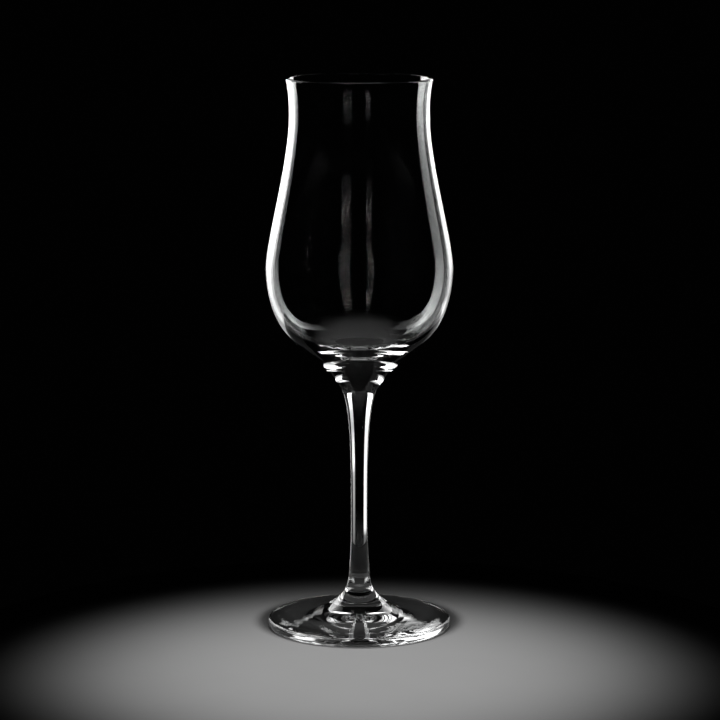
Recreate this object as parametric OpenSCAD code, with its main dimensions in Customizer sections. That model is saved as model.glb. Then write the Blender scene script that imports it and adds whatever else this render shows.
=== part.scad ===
// Stemmed nosing glass: a tulip bowl, a drawn stem and a spread foot, welded end to end in the flame.
// The foot stands on z = 0, and the z axis is the axis of the glass.
// Outlines are [radius, height] points, and every piece is one outline turned about the axis.

/* [Foot] */
// Diameter of the foot
foot_d = 65; // [50:0.5:90]
// Thickness of the foot at its edge
foot_edge_t = 3.2; // [2.6:0.1:5]
// Radius of the fire polish on both corners of the edge
foot_edge_r = 1.1; // [0.3:0.05:1.25]
// Width of the flat ring that stands on the table
foot_ring_w = 5; // [2:0.5:10]
// Depth of the hollow under the foot, at the axis
foot_hollow_h = 3; // [0.4:0.1:5]
// Diameter at which the foot's plate turns up into its neck
neck_d = 18.4; // [12:0.2:30]
// Height of that turn above the table
plate_h = 8.7; // [6:0.1:13]
// Height of the neck, from that turn to the weld under the stem
neck_h = 10.1; // [6:0.1:18]
// Diameter of the weld between the foot and the stem
foot_weld_d = 7.4; // [6:0.1:11]

/* [Stem] */
// Least diameter of the stem
stem_waist_d = 5.9; // [4:0.1:6]
// Length of the stem below its least diameter, down to the foot's weld
stem_low_len = 21; // [8:0.5:40]
// Length of the stem above its least diameter, up to the bowl's weld
stem_high_len = 46.5; // [20:0.5:80]
// Diameter of the weld between the stem and the bowl
bowl_weld_d = 13.8; // [9:0.1:20]

/* [Bowl] */
// Diameter at which the bowl's flared base turns up into the belly
flare_d = 47.6; // [36:0.2:54]
// Height of the flared base, from the weld to that turn
flare_h = 16.5; // [12:0.1:22]
// Widest outer diameter of the bowl
belly_d = 66; // [58:0.2:90]
// Height of the widest diameter above the turn
belly_h = 26; // [18:0.1:40]
// Outer diameter of the waist under the rim
waist_d = 49.4; // [40:0.2:56]
// Height of the waist above the widest diameter
waist_h = 53.3; // [35:0.1:75]
// Outer diameter of the rim
rim_d = 51.6; // [44:0.2:60]
// Height of the lip, from the waist to the top of the rim
lip_h = 12.9; // [6:0.1:24]
// Thickness of the rim, which is rounded over
rim_t = 1.1; // [0.8:0.05:2]
// Thickness of the wall at the waist
waist_t = 1.2; // [0.8:0.05:2.4]
// Thickness of the wall at the belly
belly_t = 1.5; // [1:0.05:3]
// Thickness of the wall at the turn
turn_t = 2.3; // [1.2:0.1:5]
// Thickness of the solid base, from the weld to the lowest ring of the cup
base_t = 13.2; // [8:0.1:24]
// Diameter of the lowest ring of the cup, round the slight dome at its middle
dome_d = 14; // [8:0.5:24]
// Height of that dome
dome_h = 0.9; // [0.2:0.1:3]

/* [Hidden] */

// Steps in each curve, and in each rounded corner
curve_steps = 14;
round_steps = 6;
// Sides of the turned pieces on screen
turn_sides = 120;

// How much of the colour of the glass shows
tint_share = 0.4;

// Headings of the outlines, in degrees
outwards = 0;
upwards = 90;
inwards = 180;
downwards = 270;
half_turn = 180;
quarter_turn = 90;
hollow_angle = 357;
plate_angle = 176;
neck_angle = 141;
foot_weld_angle = 93.5;
bowl_weld_angle = 54;
flare_angle = 42.6;
cup_angle = 219;
rim_angle = 78.5;

// Reach of each curve's two handles, as shares of the straight line between its ends
hollow_shares = [0.3, 0.6];
neck_shares = [0.35, 0.48];
plate_shares = [0.5, 0.24];
stem_low_shares = [0.5, 0.5];
stem_high_shares = [0.52, 0.13];
flare_shares = [0.48, 0.52];
lower_shares = [0.2, 0.52];
upper_shares = [0.185, 0.3];
lip_shares = [0.22, 0.45];
wall_shares = [0.485, 0.26];
cup_shares = [0.38, 0.295];
dome_shares = [0.4, 0.4];

// Heights of the two welds above the table
foot_h = plate_h + neck_h;
stem_len = stem_low_len + stem_high_len;
foot_weld_z = foot_h;
bowl_weld_z = foot_weld_z + stem_len;

// Heights on the bowl above its weld
belly_z = flare_h + belly_h;
waist_z = belly_z + waist_h;
rim_z = waist_z + lip_h;

// A step of one along a heading
function heading(angle) = [cos(angle), sin(angle)];

// A point at share t of the cubic curve through four points
function cubic(a, b, c, d, t) =
    pow(1 - t, 3) * a + 3 * pow(1 - t, 2) * t * b + 3 * (1 - t) * t * t * c + pow(t, 3) * d;

// Points of the curve that leaves one point at a heading and comes to another at its own heading
function curve(from, from_angle, to, to_angle, shares) =
    let (span = norm(to - from))
    let (leave = from + span * shares[0] * heading(from_angle))
    let (reach = to - span * shares[1] * heading(to_angle))
    [for (i = [0:curve_steps]) cubic(from, leave, reach, to, i / curve_steps)];

// Points of a circular arc about a centre
function arc(centre, radius, from_angle, to_angle) =
    [for (i = [0:round_steps]) centre + radius * heading(from_angle + (to_angle - from_angle) * i / round_steps)];

// A curve or an arc without its last point, where the next one starts
function open_end(points) = [for (i = [0:len(points) - 2]) points[i]];

// The shares of a curve that is followed the other way
function reversed(shares) = [shares[1], shares[0]];

// Turns an outline about the axis, at its height on the glass
module turned(height, points) {
    translate([0, 0, height])
        rotate_extrude($fn = turn_sides)
            polygon(points);
}

// Bowl: a solid flared base under a tulip cup, with a lip that turns out to a rounded rim
module bowl() {
    weld = [bowl_weld_d / 2, 0];
    turn = [flare_d / 2, flare_h];
    belly = [belly_d / 2, belly_z];
    waist = [waist_d / 2, waist_z];
    inner_belly = belly - [belly_t, 0];
    inner_waist = waist - [waist_t, 0];
    inner_turn = turn + turn_t * heading(flare_angle + quarter_turn);
    lowest_ring = [dome_d / 2, base_t];
    dome_top = [0, base_t + dome_h];
    rim_r = rim_t / 2;
    rim_centre = [rim_d / 2 - rim_r, rim_z - rim_r];
    rim_outside = rim_angle - quarter_turn;
    rim_inside = rim_angle + quarter_turn;
    rim_out = rim_centre + rim_r * heading(rim_outside);
    rim_in = rim_centre + rim_r * heading(rim_inside);
    outside = concat(
        open_end(curve(weld, bowl_weld_angle, turn, flare_angle, flare_shares)),
        open_end(curve(turn, flare_angle, belly, upwards, lower_shares)),
        open_end(curve(belly, upwards, waist, upwards, upper_shares)),
        open_end(curve(waist, upwards, rim_out, rim_angle, lip_shares))
    );
    rim = concat(
        open_end(arc(rim_centre, rim_r, rim_outside, upwards)),
        open_end(arc(rim_centre, rim_r, upwards, rim_inside))
    );
    inside = concat(
        open_end(curve(rim_in, rim_angle + half_turn, inner_waist, downwards, reversed(lip_shares))),
        open_end(curve(inner_waist, downwards, inner_belly, downwards, reversed(upper_shares))),
        open_end(curve(inner_belly, downwards, inner_turn, cup_angle, wall_shares)),
        open_end(curve(inner_turn, cup_angle, lowest_ring, inwards, cup_shares)),
        curve(lowest_ring, inwards, dome_top, inwards, dome_shares)
    );
    color("aliceblue", tint_share)
        turned(bowl_weld_z, concat([[0, 0]], outside, rim, inside));
}

// Stem: a drawn rod that narrows to a waist and swells into the weld under the bowl
module stem() {
    low_end = [foot_weld_d / 2, 0];
    waist = [stem_waist_d / 2, stem_low_len];
    high_end = [bowl_weld_d / 2, stem_len];
    side = concat(
        open_end(curve(low_end, foot_weld_angle, waist, upwards, stem_low_shares)),
        curve(waist, upwards, high_end, bowl_weld_angle, stem_high_shares)
    );
    color("lightcyan", tint_share)
        turned(foot_weld_z, concat([[0, 0]], side, [[0, stem_len]]));
}

// Foot: a neck that spreads into a plate with a rounded edge, hollow underneath inside a flat ring
module foot() {
    weld = [foot_weld_d / 2, foot_h];
    neck = [neck_d / 2, plate_h];
    corner_r = foot_d / 2 - foot_edge_r;
    lower_corner = [corner_r, foot_edge_r];
    upper_corner = [corner_r, foot_edge_t - foot_edge_r];
    plate_out = plate_angle - quarter_turn;
    plate_edge = upper_corner + foot_edge_r * heading(plate_out);
    ring_r = corner_r - foot_ring_w;
    ring_inside = [ring_r, 0];
    hollow_top = [0, foot_hollow_h];
    underside = concat(
        curve(hollow_top, outwards, ring_inside, hollow_angle, hollow_shares),
        arc(lower_corner, foot_edge_r, downwards - 2 * half_turn, outwards)
    );
    upper_side = concat(
        open_end(arc(upper_corner, foot_edge_r, outwards, plate_out)),
        open_end(curve(plate_edge, plate_angle, neck, neck_angle, plate_shares)),
        curve(neck, neck_angle, weld, foot_weld_angle, neck_shares)
    );
    color("azure", tint_share)
        turned(0, concat(underside, upper_side, [[0, foot_h]]));
}

bowl();
stem();
foot();
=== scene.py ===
"""Looks of a clear stemmed nosing glass: a blown bowl, a drawn stem and a spread foot, welded end to end.

Each piece is drawn as one outline and spun about the axis of the glass, which is the z axis. The foot
stands on z = 0. Lengths are in metres, angles in degrees, and an outline's points are (radius, height).
"""

import logging
import math
from abc import ABC, abstractmethod
from dataclasses import dataclass, field
from enum import Enum
from typing import Any, ClassVar

import bpy
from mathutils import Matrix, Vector


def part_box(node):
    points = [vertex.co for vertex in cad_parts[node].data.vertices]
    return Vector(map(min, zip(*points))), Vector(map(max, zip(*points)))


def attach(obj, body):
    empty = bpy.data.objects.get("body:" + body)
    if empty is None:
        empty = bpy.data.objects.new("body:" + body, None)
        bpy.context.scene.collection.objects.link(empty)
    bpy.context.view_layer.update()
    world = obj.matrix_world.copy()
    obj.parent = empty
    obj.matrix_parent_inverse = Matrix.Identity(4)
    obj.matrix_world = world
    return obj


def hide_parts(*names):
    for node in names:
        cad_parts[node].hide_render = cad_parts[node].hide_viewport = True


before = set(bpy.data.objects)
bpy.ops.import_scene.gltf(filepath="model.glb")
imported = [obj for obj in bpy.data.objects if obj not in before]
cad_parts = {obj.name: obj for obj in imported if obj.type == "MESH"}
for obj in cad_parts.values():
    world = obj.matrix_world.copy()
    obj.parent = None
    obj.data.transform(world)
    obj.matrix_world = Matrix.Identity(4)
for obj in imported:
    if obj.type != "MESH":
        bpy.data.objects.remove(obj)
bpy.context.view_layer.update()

LOG = logging.getLogger("nosing_glass")
BODY = "root"

# Sides of a spun piece and of the table, and the steps of a rounded corner, of short and long curves
# and of the stem's longest one.
SIDES = 192
ROUND_STEPS = 10
SHORT_STEPS = 24
LONG_STEPS = 48
STEM_STEPS = 96

# Points closer than this are one point, and faces that meet at more than this angle keep a crisp edge.
MERGE_GAP = 1e-6
CRISP_ANGLE = 35.0

# A face lies flat where the upright share of its normal is more than this.
FLAT_SHARE = 0.999

# Turn of a camera that looks level.
LEVEL_LOOK = 90.0


class Heading(Enum):
    """The plain directions in which an outline runs, as degrees from straight outwards."""

    OUT = 0.0
    UP = 90.0
    IN = 180.0
    DOWN = 270.0


class Spacing(Enum):
    """How the points of a curve are spread along it."""

    EVEN = "even"
    FINE_START = "fine at its start"
    FINE_END = "fine at its end"


class Working(Enum):
    """How a piece was worked hot, which leaves its own faint marks in the surface."""

    BLOWN = "blown"
    DRAWN = "drawn"
    SPUN = "spun"


class FaceFinish(Enum):
    """The material slots of a piece, in order."""

    GLASS = 0
    WELD = 1


def direction(angle: float) -> Vector:
    """Gives the step of one along an angle, as (radius, height)."""
    return Vector((math.cos(math.radians(angle)), math.sin(math.radians(angle))))


def at_height(radius: float, height: float) -> Vector:
    """Gives an outline's point from its radius and height."""
    return Vector((radius, height))


def grey(brightness: float) -> tuple[float, float, float, float]:
    """Gives an opaque grey."""
    return (brightness, brightness, brightness, 1.0)


def set_up(name: str, data: bpy.types.ID, place: tuple[float, float, float]) -> bpy.types.Object:
    """Puts a lamp or the camera into the scene.

    Args:
        name: Name of the new object.
        data: The lamp or the camera.
        place: Where it stands.

    Returns:
        The new object.
    """
    holder = bpy.data.objects.new(name, data)
    holder.location = place
    bpy.context.scene.collection.objects.link(holder)
    return holder


@dataclass
class Outline:
    """The outline of a turned piece, drawn point after point.

    Attributes:
        points: The points drawn so far, each (radius, height).
    """

    points: list[Vector] = field(default_factory=list)

    def line_to(self, point: Vector) -> None:
        """Runs straight to a point."""
        self.points.append(point)

    def arc(self, centre: Vector, radius: float, start: float, end: float) -> None:
        """Adds a circular arc, with a straight run from the last point to its start.

        Args:
            centre: Centre of the arc.
            radius: Radius of the arc.
            start: Angle of its first point, seen from the centre.
            end: Angle of its last point.
        """
        turn = (end - start) / ROUND_STEPS
        for step in range(ROUND_STEPS + 1):
            self._add(centre + radius * direction(start + turn * step))

    def curve_to(
        self,
        end: Vector,
        leave: float,
        reach: float,
        handles: tuple[float, float],
        steps: int = LONG_STEPS,
        spacing: Spacing = Spacing.EVEN,
    ) -> None:
        """Adds a smooth curve from the last point.

        Args:
            end: Point that the curve comes to.
            leave: Angle at which it leaves the last point.
            reach: Angle at which it comes to its end.
            handles: Reach of its two handles, as shares of the straight line between its ends.
            steps: Number of straight runs that it is drawn with.
            spacing: Where its points lie closer together.
        """
        start = self.points[-1]
        span = (end - start).length
        first = start + span * handles[0] * direction(leave)
        second = end - span * handles[1] * direction(reach)
        for step in range(1, steps + 1):
            t = self._share(step / steps, spacing)
            u = 1.0 - t
            self._add(u**3 * start + 3 * u * u * t * first + 3 * u * t * t * second + t**3 * end)

    def _add(self, point: Vector) -> None:
        """Adds a point unless the outline is there already."""
        if not self.points or (point - self.points[-1]).length > MERGE_GAP:
            self.points.append(point)

    @staticmethod
    def _share(even: float, spacing: Spacing) -> float:
        """Moves an even share along a curve towards the end that has the finer points.

        Args:
            even: The even share, from 0 to 1.
            spacing: Where the points lie closer together.

        Returns:
            The share at which the point lies.
        """
        if spacing is Spacing.FINE_START:
            return even * even
        if spacing is Spacing.FINE_END:
            return 1.0 - (1.0 - even) ** 2
        return even


@dataclass(frozen=True)
class WeldBead:
    """The slight swelling that a flame weld leaves round the stem.

    Attributes:
        reach: How far it spreads above and below the weld.
        rise: How far it stands out at the weld.
    """

    reach: float = 0.0009
    rise: float = 0.00004

    def swell(self, outline: Outline, height: float) -> None:
        """Pushes an outline out near a weld.

        Args:
            outline: Outline of the piece, with fine points near the weld.
            height: Height of the weld.
        """
        for point in outline.points:
            away = abs(point.y - height)
            if away < self.reach and point.x > self.reach:
                point.x += self.rise * math.cos(math.pi / 2 * away / self.reach) ** 2


class Lathe:
    """Turns an outline into a closed mesh, as by hand: one vertex is drawn out and then spun."""

    def turn(self, name: str, outline: Outline) -> bpy.types.Object:
        """Makes a turned piece.

        Args:
            name: Name of the new object.
            outline: Its outline, from one point on the axis to another.

        Returns:
            The new object, at the origin, with its place in its mesh.
        """
        bpy.ops.object.select_all(action="DESELECT")
        bpy.ops.mesh.primitive_plane_add(location=(0.0, 0.0, 0.0))
        piece = bpy.context.object
        piece.name = name
        piece.data.name = name
        bpy.ops.object.mode_set(mode="EDIT")
        bpy.ops.mesh.select_mode(type="VERT")
        bpy.ops.mesh.merge(type="CENTER")
        self._draw(outline)
        bpy.ops.mesh.select_all(action="SELECT")
        bpy.ops.mesh.spin(steps=SIDES, angle=math.tau, center=(0.0, 0.0, 0.0), axis=(0.0, 0.0, 1.0))
        bpy.ops.mesh.select_all(action="SELECT")
        bpy.ops.mesh.remove_doubles(threshold=MERGE_GAP)
        bpy.ops.mesh.normals_make_consistent(inside=False)
        bpy.ops.object.mode_set(mode="OBJECT")
        bpy.ops.object.shade_smooth_by_angle(angle=math.radians(CRISP_ANGLE))
        return piece

    @staticmethod
    def _draw(outline: Outline) -> None:
        """Draws the selected vertex out along an outline, in the plane of the x axis.

        Args:
            outline: Outline to follow.
        """
        here, *others = outline.points
        bpy.ops.transform.translate(value=(here.x, 0.0, here.y))
        for point in others:
            step = point - here
            bpy.ops.mesh.extrude_vertices_move(TRANSFORM_OT_translate={"value": (step.x, 0.0, step.y)})
            here = point


class Socket:
    """An output socket of a node, so that shader maths reads as arithmetic."""

    def __init__(self, board: "Board", socket: bpy.types.NodeSocket) -> None:
        """Keeps the socket and the board that its node is on."""
        self.board = board
        self.socket = socket

    def _maths(self, operation: str, left: Any, right: Any) -> "Socket":
        """Adds a Math node on two values."""
        return self.board.add("ShaderNodeMath", {"operation": operation}, {0: left, 1: right})

    def __add__(self, other: Any) -> "Socket":
        """Adds a value."""
        return self._maths("ADD", self, other)

    def __radd__(self, other: Any) -> "Socket":
        """Is added to a value."""
        return self._maths("ADD", other, self)

    def __mul__(self, other: Any) -> "Socket":
        """Multiplies by a value."""
        return self._maths("MULTIPLY", self, other)

    def __rmul__(self, other: Any) -> "Socket":
        """Multiplies a value."""
        return self._maths("MULTIPLY", other, self)

    def __pow__(self, other: Any) -> "Socket":
        """Is raised to a power."""
        return self._maths("POWER", self, other)

    def __rpow__(self, other: Any) -> "Socket":
        """Is the power that a value is raised to."""
        return self._maths("POWER", other, self)

    def sine(self) -> "Socket":
        """Gives the sine of the value in radians."""
        return self.board.add("ShaderNodeMath", {"operation": "SINE"}, {0: self})


class Board:
    """A node tree that is being wired, of a material, a lamp or the world."""

    def __init__(self, tree: bpy.types.NodeTree) -> None:
        """Takes a node tree and empties it."""
        self.tree = tree
        tree.nodes.clear()

    def add(
        self,
        kind: str,
        settings: dict[str, Any] | None = None,
        inputs: dict[str | int, Any] | None = None,
        output: str | int = 0,
    ) -> Socket | None:
        """Adds a node.

        Args:
            kind: Blender's name for the type of node.
            settings: Properties of the node, with a ramp's stops as (place, brightness) pairs.
            inputs: Values or sockets for the node's inputs, by name or number.
            output: Output that the caller goes on with.

        Returns:
            That output's socket, or None on a node without outputs.
        """
        node = self.tree.nodes.new(kind)
        for name, setting in (settings or {}).items():
            if name == "stops":
                self._set_stops(node.color_ramp, setting)
            else:
                setattr(node, name, setting)
        for name, value in (inputs or {}).items():
            if isinstance(value, Socket):
                self.tree.links.new(value.socket, node.inputs[name])
            else:
                node.inputs[name].default_value = value
        return Socket(self, node.outputs[output]) if node.outputs else None

    @staticmethod
    def _set_stops(ramp: bpy.types.ColorRamp, stops: tuple[tuple[float, float], ...]) -> None:
        """Gives a colour ramp its grey stops.

        Args:
            ramp: Ramp of a Color Ramp node.
            stops: Pairs of place and brightness, in order.
        """
        while len(ramp.elements) < len(stops):
            ramp.elements.new(1.0)
        for element, (place, brightness) in zip(ramp.elements, stops):
            element.position = place
            element.color = grey(brightness)


@dataclass(frozen=True)
class ClearGlass:
    """Clear colourless glass, fire polished, with the faint marks of hot working.

    Attributes:
        working: How the piece was worked, which shapes its marks.
        colour: What is left of white light after it has passed through a wall.
        refraction: Refractive index.
        wave: Length of the waves in the surface.
        wave_depth: Depth of those waves.
        wave_detail: How many finer waves lie on them.
        wave_fineness: How strong the finer waves are.
        squeeze: How far heights are squeezed on a blown piece, which makes its waves longer.
        stretch: How much longer the waves of a drawn piece are along the axis.
        ring_pitch: Distance between the rings of a spun piece.
        ring_share: Height of those rings, as a share of the waves' height.
        haze_patch: Size of the patches that are a little less bright.
        haze_detail: How many finer patches lie in them.
        haze_fineness: How strong the finer patches are.
        haze_contrast: Power that leaves only the strongest patches.
        haze: Roughness that those patches reach.
        shadow: Share of a lamp's light that passes each surface on its way to the floor.
    """

    working: Working
    colour: tuple[float, float, float] = (0.975, 0.986, 0.984)
    refraction: float = 1.52
    wave: float = 0.011
    wave_depth: float = 0.000012
    wave_detail: float = 1.0
    wave_fineness: float = 0.35
    squeeze: float = 0.6
    stretch: float = 9.0
    ring_pitch: float = 0.0042
    ring_share: float = 0.12
    haze_patch: float = 0.007
    haze_detail: float = 3.0
    haze_fineness: float = 0.5
    haze_contrast: float = 4.0
    haze: float = 0.03
    shadow: float = 0.65

    def material(self) -> bpy.types.Material:
        """Makes the material.

        Returns:
            The new material.
        """
        made = bpy.data.materials.new(f"glass_{self.working.value}")
        made.use_nodes = True
        board = Board(made.node_tree)
        place = board.add("ShaderNodeTexCoord", output="Object")
        ripple = board.add(
            "ShaderNodeBump",
            inputs={"Strength": 1.0, "Distance": self.wave_depth, "Height": self._waves(board, place)},
        )
        glass = board.add(
            "ShaderNodeBsdfPrincipled",
            inputs={
                "Base Color": (*self.colour, 1.0),
                "Roughness": self._dulling(board, place),
                "IOR": self.refraction,
                "Transmission Weight": 1.0,
                "Normal": ripple,
            },
        )
        passing = board.add("ShaderNodeBsdfTransparent", inputs={"Color": grey(self.shadow)})
        is_shadow = board.add("ShaderNodeLightPath", output="Is Shadow Ray")
        surface = board.add("ShaderNodeMixShader", inputs={0: is_shadow, 1: glass, 2: passing})
        board.add("ShaderNodeOutputMaterial", inputs={"Surface": surface})
        return made

    def _waves(self, board: Board, place: Socket) -> Socket:
        """Gives the height of the surface marks, about 0 to 1.

        Args:
            board: Board of the material.
            place: Place on the piece.

        Returns:
            The height.
        """
        upright = {
            Working.BLOWN: self.squeeze,
            Working.DRAWN: 1.0 / self.stretch,
            Working.SPUN: 1.0,
        }[self.working]
        spread = board.add(
            "ShaderNodeVectorMath", {"operation": "MULTIPLY"}, {0: place, 1: (1.0, 1.0, upright)}
        )
        noise = board.add(
            "ShaderNodeTexNoise",
            inputs={
                "Vector": spread,
                "Scale": 1.0 / self.wave,
                "Detail": self.wave_detail,
                "Roughness": self.wave_fineness,
            },
        )
        if self.working is not Working.SPUN:
            return noise
        flat = board.add("ShaderNodeVectorMath", {"operation": "MULTIPLY"}, {0: place, 1: (1.0, 1.0, 0.0)})
        radius = board.add("ShaderNodeVectorMath", {"operation": "LENGTH"}, {0: flat}, output="Value")
        rings = (radius * (math.tau / self.ring_pitch) + noise * math.tau).sine()
        return noise + rings * self.ring_share

    def _dulling(self, board: Board, place: Socket) -> Socket:
        """Gives the roughness, which is nothing but for faint patches.

        Args:
            board: Board of the material.
            place: Place on the piece.

        Returns:
            The roughness.
        """
        patches = board.add(
            "ShaderNodeTexNoise",
            inputs={
                "Vector": place,
                "Scale": 1.0 / self.haze_patch,
                "Detail": self.haze_detail,
                "Roughness": self.haze_fineness,
            },
        )
        return patches**self.haze_contrast * self.haze


@dataclass(frozen=True)
class WeldFace:
    """The inside of a flame weld, where the glass of two pieces has run together and nothing shows."""

    name: str = "weld_run_together"

    def material(self) -> bpy.types.Material:
        """Makes the material, which lets everything pass.

        Returns:
            The new material.
        """
        made = bpy.data.materials.new(self.name)
        made.use_nodes = True
        board = Board(made.node_tree)
        clear = board.add("ShaderNodeBsdfTransparent", inputs={"Color": grey(1.0)})
        board.add("ShaderNodeOutputMaterial", inputs={"Surface": clear})
        return made


@dataclass
class GlassPiece(ABC):
    """One piece of the glass, turned about the axis and welded to its neighbours.

    Attributes:
        weld_bead: The bead at its welds.
        low: Height of its lowest point.
        high: Height of its highest point.
        widest: Its largest radius.
    """

    NODE: ClassVar[str]
    WORKING: ClassVar[Working]

    weld_bead: WeldBead = field(default_factory=WeldBead)
    low: float = field(init=False)
    high: float = field(init=False)
    widest: float = field(init=False)

    def __post_init__(self) -> None:
        """Takes the piece's heights and its largest radius from the construction."""
        lowest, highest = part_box(self.NODE)
        self.low = lowest.z
        self.high = highest.z
        self.widest = highest.x

    @abstractmethod
    def outline(self) -> Outline:
        """Draws the piece's outline.

        Returns:
            The outline, from one point on the axis to another.
        """

    @abstractmethod
    def welds(self) -> list[float]:
        """Gives the heights of the piece's welds."""

    def build(self) -> bpy.types.Object:
        """Turns the piece and puts it on the body of the glass.

        Returns:
            The new object.
        """
        outline = self.outline()
        for height in self.welds():
            self.weld_bead.swell(outline, height)
        piece = Lathe().turn(f"{self.NODE}_glass", outline)
        self.dress(piece)
        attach(piece, BODY)
        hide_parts(self.NODE)
        LOG.info("%s: %d faces", piece.name, len(piece.data.polygons))
        return piece

    def dress(self, piece: bpy.types.Object) -> None:
        """Gives the piece its glass, and its weld faces theirs.

        Args:
            piece: The turned piece.
        """
        finishes = {
            FaceFinish.GLASS: ClearGlass(self.WORKING).material(),
            FaceFinish.WELD: bpy.data.materials.get(WeldFace.name) or WeldFace().material(),
        }
        for finish in FaceFinish:
            piece.data.materials.append(finishes[finish])
        bpy.ops.object.mode_set(mode="EDIT")
        bpy.ops.mesh.select_mode(type="FACE")
        bpy.ops.mesh.select_all(action="DESELECT")
        bpy.ops.object.mode_set(mode="OBJECT")
        welds = self.welds()
        for face in piece.data.polygons:
            face.select = any(self._in_weld(face, height) for height in welds)
        bpy.ops.object.mode_set(mode="EDIT")
        piece.active_material_index = FaceFinish.WELD.value
        bpy.ops.object.material_slot_assign()
        bpy.ops.object.mode_set(mode="OBJECT")

    @staticmethod
    def _in_weld(face: bpy.types.MeshPolygon, height: float) -> bool:
        """Says whether a face lies flat in the weld at a height."""
        return abs(face.center.z - height) < MERGE_GAP and abs(face.normal.z) > FLAT_SHARE


@dataclass
class Foot(GlassPiece):
    """The spread foot: a plate with a rounded edge and a short neck, hollow underneath inside a flat ring.

    Attributes:
        edge_thickness: Thickness of the plate at its edge.
        edge_radius: Radius of the fire polish on both corners of the edge.
        ring_width: Width of the flat ring that stands on the table.
        hollow_rise: Depth of the hollow at the axis.
        hollow_angle: Angle at which the hollow comes down to the ring.
        hollow_handles: Handles of the hollow's curve.
        neck_radius: Radius at which the plate turns up into the neck.
        neck_height: Height of that turn.
        weld_radius: Radius of the weld under the stem.
        plate_angle: Angle of the plate at its edge.
        neck_angle: Angle of the outline at the turn.
        weld_angle: Angle of the outline at the weld.
        plate_handles: Handles of the plate's curve.
        neck_handles: Handles of the neck's curve.
    """

    NODE: ClassVar[str] = "foot"
    WORKING: ClassVar[Working] = Working.SPUN

    edge_thickness: float = 0.0032
    edge_radius: float = 0.0011
    ring_width: float = 0.005
    hollow_rise: float = 0.003
    hollow_angle: float = 357.0
    hollow_handles: tuple[float, float] = (0.3, 0.6)
    neck_radius: float = 0.0092
    neck_height: float = 0.0087
    weld_radius: float = 0.0037
    plate_angle: float = 176.0
    neck_angle: float = 141.0
    weld_angle: float = 93.5
    plate_handles: tuple[float, float] = (0.5, 0.24)
    neck_handles: tuple[float, float] = (0.35, 0.48)

    def welds(self) -> list[float]:
        """Gives the height of the weld under the stem."""
        return [self.high]

    def outline(self) -> Outline:
        """Draws the foot from the middle of its hollow round its edge to the weld.

        Returns:
            The outline.
        """
        corner = self.widest - self.edge_radius
        ring = corner - self.ring_width
        lower = at_height(corner, self.edge_radius)
        upper = at_height(corner, self.edge_thickness - self.edge_radius)
        plate_normal = self.plate_angle - Heading.UP.value
        drawn = Outline()
        drawn.line_to(at_height(0.0, self.hollow_rise))
        drawn.curve_to(at_height(ring, 0.0), Heading.OUT.value, self.hollow_angle, self.hollow_handles)
        drawn.arc(lower, self.edge_radius, -Heading.UP.value, Heading.OUT.value)
        drawn.arc(upper, self.edge_radius, Heading.OUT.value, plate_normal)
        drawn.curve_to(
            at_height(self.neck_radius, self.neck_height),
            self.plate_angle,
            self.neck_angle,
            self.plate_handles,
        )
        drawn.curve_to(
            at_height(self.weld_radius, self.high),
            self.neck_angle,
            self.weld_angle,
            self.neck_handles,
            spacing=Spacing.FINE_END,
        )
        drawn.line_to(at_height(0.0, self.high))
        return drawn


@dataclass
class Stem(GlassPiece):
    """The drawn stem, which narrows to a waist and swells into the weld under the bowl.

    Attributes:
        low_radius: Radius of the weld on the foot.
        waist_radius: Least radius.
        waist_rise: Height of the least radius above the foot's weld.
        low_angle: Angle of the outline at the foot's weld.
        high_angle: Angle of the outline at the bowl's weld.
        low_handles: Handles of the curve up to the waist.
        high_handles: Handles of the curve from the waist to the bowl.
    """

    NODE: ClassVar[str] = "stem"
    WORKING: ClassVar[Working] = Working.DRAWN

    low_radius: float = 0.0037
    waist_radius: float = 0.00295
    waist_rise: float = 0.021
    low_angle: float = 93.5
    high_angle: float = 54.0
    low_handles: tuple[float, float] = (0.5, 0.5)
    high_handles: tuple[float, float] = (0.52, 0.13)

    def welds(self) -> list[float]:
        """Gives the heights of the welds on the foot and under the bowl."""
        return [self.low, self.high]

    def outline(self) -> Outline:
        """Draws the stem from its lower weld to its upper one.

        Returns:
            The outline.
        """
        up = Heading.UP.value
        drawn = Outline()
        drawn.line_to(at_height(0.0, self.low))
        drawn.line_to(at_height(self.low_radius, self.low))
        drawn.curve_to(
            at_height(self.waist_radius, self.low + self.waist_rise),
            self.low_angle,
            up,
            self.low_handles,
            spacing=Spacing.FINE_START,
        )
        drawn.curve_to(
            at_height(self.widest, self.high),
            up,
            self.high_angle,
            self.high_handles,
            steps=STEM_STEPS,
            spacing=Spacing.FINE_END,
        )
        drawn.line_to(at_height(0.0, self.high))
        return drawn


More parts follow.
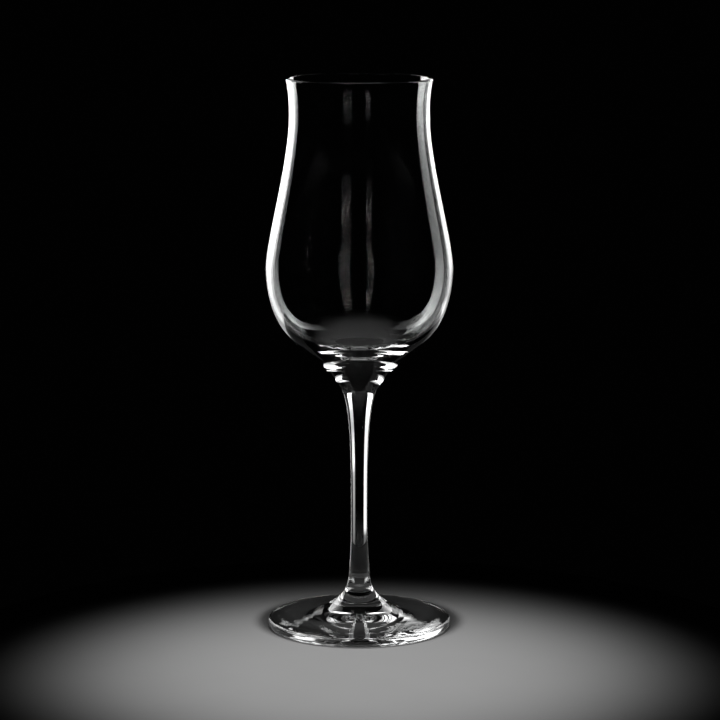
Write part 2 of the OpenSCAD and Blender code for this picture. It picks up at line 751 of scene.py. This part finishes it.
@dataclass
class Bowl(GlassPiece):
    """The blown bowl: a solid flared base under a tulip cup, with a lip that turns out to a rounded rim.

    Attributes:
        weld_radius: Radius of the weld on the stem.
        turn_radius: Radius at which the flared base turns up into the belly.
        turn_rise: Height of that turn above the weld.
        belly_rise: Height of the widest radius above the turn.
        waist_radius: Outer radius of the waist under the rim.
        lip_height: Height of the lip, from the waist to the top of the rim.
        rim_radius: Outer radius of the rim.
        rim_thickness: Thickness of the rim, which is rounded over.
        waist_thickness: Thickness of the wall at the waist.
        belly_thickness: Thickness of the wall at the belly.
        turn_thickness: Thickness of the wall at the turn.
        base_thickness: Thickness of the solid base, from the weld to the lowest ring of the cup.
        dome_radius: Radius of that ring, round the slight dome at the middle of the cup.
        dome_rise: Height of the dome.
        weld_angle: Angle of the outline at the weld.
        turn_angle: Angle of the outline at the turn.
        cup_angle: Angle of the inside at the turn, on its way down.
        rim_angle: Angle of the lip at the rim.
        flare_handles: Handles of the flared base's curve.
        lower_handles: Handles of the curve from the turn to the belly.
        upper_handles: Handles of the curve from the belly to the waist.
        lip_handles: Handles of the lip's curve.
        wall_handles: Handles of the inside's curve from the belly to the turn.
        cup_handles: Handles of the inside's curve from the turn to the lowest ring.
        dome_handles: Handles of the dome's curve.
    """

    NODE: ClassVar[str] = "bowl"
    WORKING: ClassVar[Working] = Working.BLOWN

    weld_radius: float = 0.0069
    turn_radius: float = 0.0238
    turn_rise: float = 0.0165
    belly_rise: float = 0.026
    waist_radius: float = 0.0247
    lip_height: float = 0.0129
    rim_radius: float = 0.0258
    rim_thickness: float = 0.0011
    waist_thickness: float = 0.0012
    belly_thickness: float = 0.0015
    turn_thickness: float = 0.0023
    base_thickness: float = 0.0132
    dome_radius: float = 0.007
    dome_rise: float = 0.0009
    weld_angle: float = 54.0
    turn_angle: float = 42.6
    cup_angle: float = 219.0
    rim_angle: float = 78.5
    flare_handles: tuple[float, float] = (0.48, 0.52)
    lower_handles: tuple[float, float] = (0.2, 0.52)
    upper_handles: tuple[float, float] = (0.185, 0.3)
    lip_handles: tuple[float, float] = (0.22, 0.45)
    wall_handles: tuple[float, float] = (0.485, 0.26)
    cup_handles: tuple[float, float] = (0.38, 0.295)
    dome_handles: tuple[float, float] = (0.4, 0.4)

    def welds(self) -> list[float]:
        """Gives the height of the weld on the stem."""
        return [self.low]

    def outline(self) -> Outline:
        """Draws the bowl from the weld up its outside, over the rim and down to the bottom of the cup.

        Returns:
            The outline.
        """
        up, inwards, down = Heading.UP.value, Heading.IN.value, Heading.DOWN.value
        turn = at_height(self.turn_radius, self.low + self.turn_rise)
        belly = at_height(self.widest, turn.y + self.belly_rise)
        waist = at_height(self.waist_radius, self.high - self.lip_height)
        inner_belly = belly - at_height(self.belly_thickness, 0.0)
        inner_waist = waist - at_height(self.waist_thickness, 0.0)
        inner_turn = turn + self.turn_thickness * direction(self.turn_angle + up)
        rim = self.rim_thickness / 2
        rim_centre = at_height(self.rim_radius - rim, self.high - rim)
        outside, inside = self.rim_angle - up, self.rim_angle + up
        bottom = self.low + self.base_thickness
        drawn = Outline()
        drawn.line_to(at_height(0.0, self.low))
        drawn.line_to(at_height(self.weld_radius, self.low))
        drawn.curve_to(
            turn, self.weld_angle, self.turn_angle, self.flare_handles, spacing=Spacing.FINE_START
        )
        drawn.curve_to(belly, self.turn_angle, up, self.lower_handles)
        drawn.curve_to(waist, up, up, self.upper_handles)
        drawn.curve_to(
            rim_centre + rim * direction(outside), up, self.rim_angle, self.lip_handles, steps=SHORT_STEPS
        )
        drawn.arc(rim_centre, rim, outside, up)
        drawn.arc(rim_centre, rim, up, inside)
        drawn.curve_to(inner_waist, inside + up, down, self.lip_handles[::-1], steps=SHORT_STEPS)
        drawn.curve_to(inner_belly, down, down, self.upper_handles[::-1])
        drawn.curve_to(inner_turn, down, self.cup_angle, self.wall_handles)
        drawn.curve_to(at_height(self.dome_radius, bottom), self.cup_angle, inwards, self.cup_handles)
        drawn.curve_to(
            at_height(0.0, bottom + self.dome_rise), inwards, inwards, self.dome_handles, steps=SHORT_STEPS
        )
        return drawn


@dataclass(frozen=True)
class PaleFloor:
    """A round pale studio table, just under the foot.

    Attributes:
        radius: Radius of the table top.
        forward: How far its middle lies in front of the glass.
        gap: Air gap under the foot's ring.
        colour: Its pale grey.
        mottle: How much the grey varies.
        mottle_size: Size of the patches in it.
        mottle_detail: How many finer patches lie in them.
        grain: Size of its matt grain.
        grain_detail: How many finer grains lie on it.
        grain_depth: Depth of that grain.
        roughness: Roughness of the matt finish.
    """

    radius: float = 0.15
    forward: float = 0.05
    gap: float = 0.0002
    colour: float = 0.5
    mottle: float = 0.03
    mottle_size: float = 0.03
    mottle_detail: float = 2.0
    grain: float = 0.0008
    grain_detail: float = 1.0
    grain_depth: float = 0.00002
    roughness: float = 0.9

    def build(self) -> None:
        """Lays the table top."""
        bpy.ops.object.select_all(action="DESELECT")
        bpy.ops.mesh.primitive_circle_add(
            vertices=SIDES,
            radius=self.radius,
            fill_type="NGON",
            location=(0.0, -self.forward, -self.gap),
        )
        floor = bpy.context.object
        floor.name = "floor"
        bpy.ops.object.transform_apply(location=True)
        floor.data.materials.append(self._material())
        LOG.info("floor: a pale table top %.2f m across", 2 * self.radius)

    def _material(self) -> bpy.types.Material:
        """Makes the matt finish.

        Returns:
            The new material.
        """
        made = bpy.data.materials.new("pale_table")
        made.use_nodes = True
        board = Board(made.node_tree)
        place = board.add("ShaderNodeTexCoord", output="Object")
        patches = board.add(
            "ShaderNodeTexNoise",
            inputs={"Vector": place, "Scale": 1.0 / self.mottle_size, "Detail": self.mottle_detail},
        )
        grain = board.add(
            "ShaderNodeTexNoise",
            inputs={"Vector": place, "Scale": 1.0 / self.grain, "Detail": self.grain_detail},
        )
        relief = board.add("ShaderNodeBump", inputs={"Distance": self.grain_depth, "Height": grain})
        tone = patches * self.mottle + (self.colour - self.mottle / 2)
        pale = board.add("ShaderNodeCombineColor", inputs={"Red": tone, "Green": tone, "Blue": tone})
        matt = board.add(
            "ShaderNodeBsdfPrincipled",
            inputs={
                "Base Color": pale,
                "Roughness": self.roughness,
                "Specular IOR Level": 0.0,
                "Normal": relief,
            },
        )
        board.add("ShaderNodeOutputMaterial", inputs={"Surface": matt})
        return made


@dataclass(frozen=True)
class Softbox:
    """An upright strip softbox, whose face fades towards both its ends.

    Attributes:
        name: Name of the lamp.
        bearing: Its direction from the axis, from the camera's own round to the right.
        distance: Its distance from the axis.
        width: Width of its face.
        glow: Brightness of its face by height, from its bottom to its top.
    """

    name: str
    bearing: float
    distance: float
    width: float
    glow: tuple[tuple[float, float], ...]

    def build(self) -> None:
        """Stands the softbox up, facing the axis. Its grid keeps its light off the floor."""
        low, high = self.glow[0][0], self.glow[-1][0]
        tall = high - low
        peak = max(brightness for _, brightness in self.glow)
        lamp = bpy.data.lights.new(self.name, "AREA")
        lamp.shape = "RECTANGLE"
        lamp.size = self.width
        lamp.size_y = tall
        # A flat lamp's power is its brightness times pi times the area of its face.
        lamp.energy = peak * math.pi * self.width * tall
        lamp.use_nodes = True
        board = Board(lamp.node_tree)
        across = board.add("ShaderNodeNewGeometry", output="Parametric")
        rise = board.add("ShaderNodeSeparateXYZ", inputs={0: across}, output="Y")
        stops = tuple(((height - low) / tall, brightness / peak) for height, brightness in self.glow)
        fade = board.add("ShaderNodeValToRGB", {"stops": stops}, {0: rise})
        face = board.add("ShaderNodeEmission", inputs={"Strength": fade})
        board.add("ShaderNodeOutputLight", inputs={"Surface": face})
        angle = math.radians(self.bearing)
        middle = (low + high) / 2
        place = (self.distance * math.sin(angle), -self.distance * math.cos(angle), middle)
        holder = set_up(self.name, lamp, place)
        inwards = Vector((0.0, 0.0, middle)) - holder.location
        holder.rotation_euler = inwards.to_track_quat("-Z", "Y").to_euler()
        holder.visible_camera = False
        holder.visible_diffuse = False
        LOG.info("%s: bearing %.0f degrees", self.name, self.bearing)


@dataclass(frozen=True)
class PoolLamp:
    """A lamp overhead that lights a soft round pool on the floor, in front of the glass.

    Attributes:
        height: Height of the lamp above the floor.
        forward: How far it hangs in front of the glass.
        pool: Radius at which the pool has faded out.
        power: Power of the lamp.
        size: Radius of the lamp, which softens the shadow.
    """

    height: float = 1.2
    forward: float = 0.06
    pool: float = 0.12
    power: float = 36.0
    size: float = 0.02

    def build(self) -> None:
        """Hangs the lamp over the table. It shows in no reflection."""
        lamp = bpy.data.lights.new("pool_lamp", "SPOT")
        lamp.energy = self.power
        lamp.spot_size = 2 * math.atan(self.pool / self.height)
        lamp.spot_blend = 1.0
        lamp.shadow_soft_size = self.size
        holder = set_up("pool_lamp", lamp, (0.0, -self.forward, self.height))
        holder.visible_camera = False
        holder.visible_glossy = False
        holder.visible_transmission = False
        LOG.info("pool_lamp: a pool %.2f m across", 2 * self.pool)


@dataclass(frozen=True)
class PhotoCamera:
    """The camera of the photograph, solved from the outline of the glass.

    Attributes:
        back: Its distance in front of the axis.
        height: Its height above the floor.
        tilt: How far it looks down.
        lens: Its focal length in millimetres.
        sensor: Width of its square frame in millimetres.
        shift: How far the frame lies to the right of the glass, as a share of its width.
    """

    back: float = 0.9877
    height: float = 0.2611
    tilt: float = 9.5
    lens: float = 142.15
    sensor: float = 36.0
    shift: float = 0.0011

    def build(self) -> None:
        """Sets the camera up and gives it to the scene."""
        camera = bpy.data.cameras.new("photo_camera")
        camera.lens = self.lens
        camera.sensor_width = self.sensor
        camera.shift_x = self.shift
        holder = set_up("photo_camera", camera, (0.0, -self.back, self.height))
        holder.rotation_euler = (math.radians(LEVEL_LOOK - self.tilt), 0.0, 0.0)
        bpy.context.scene.camera = holder


@dataclass(frozen=True)
class DarkStudio:
    """The unlit room round the table, and how far light is followed through the glass.

    Attributes:
        ambient: Brightness of the room.
        bounces: Surfaces that light may pass or meet.
    """

    ambient: float = 0.0004
    bounces: int = 32

    def build(self) -> None:
        """Makes the world and sets the light's reach."""
        scene = bpy.context.scene
        scene.world = bpy.data.worlds.new("dark_studio")
        scene.world.use_nodes = True
        board = Board(scene.world.node_tree)
        room = board.add("ShaderNodeBackground", inputs={"Color": grey(self.ambient), "Strength": 1.0})
        board.add("ShaderNodeOutputWorld", inputs={"Surface": room})
        scene.view_settings.view_transform = "Standard"
        cycles = scene.cycles
        cycles.max_bounces = self.bounces
        cycles.transmission_bounces = self.bounces
        cycles.glossy_bounces = self.bounces
        cycles.transparent_max_bounces = self.bounces
        cycles.caustics_reflective = False
        cycles.caustics_refractive = False


# Height and brightness of the softboxes' faces, from the bottom up.
LEFT_GLOW = (
    (-0.30, 0.03),
    (-0.08, 0.04),
    (-0.05, 0.18),
    (-0.04, 1.4),
    (0.04, 1.1),
    (0.10, 2.0),
    (0.20, 5.2),
    (0.25, 5.6),
    (0.26, 3.5),
    (0.36, 1.0),
    (0.50, 0.3),
)
RIGHT_GLOW = (
    (-0.30, 0.03),
    (-0.08, 0.04),
    (-0.05, 0.22),
    (-0.01, 0.5),
    (0.0, 1.5),
    (0.04, 0.6),
    (0.08, 0.9),
    (0.10, 1.4),
    (0.15, 2.1),
    (0.20, 4.9),
    (0.23, 4.9),
    (0.24, 3.8),
    (0.36, 1.1),
    (0.50, 0.3),
)

SOFTBOXES = (
    Softbox("back_left_softbox", bearing=-140.5, distance=0.32, width=0.17, glow=LEFT_GLOW),
    Softbox("back_right_softbox", bearing=149.5, distance=0.34, width=0.105, glow=RIGHT_GLOW),
)


def main() -> None:
    """Builds the stage and the three pieces of the glass."""
    logging.basicConfig(level=logging.INFO, format="%(name)s: %(message)s")
    PhotoCamera().build()
    DarkStudio().build()
    PaleFloor().build()
    PoolLamp().build()
    for softbox in SOFTBOXES:
        softbox.build()
    for piece in (Foot(), Stem(), Bowl()):
        piece.build()


if __name__ == "__main__":
    main()
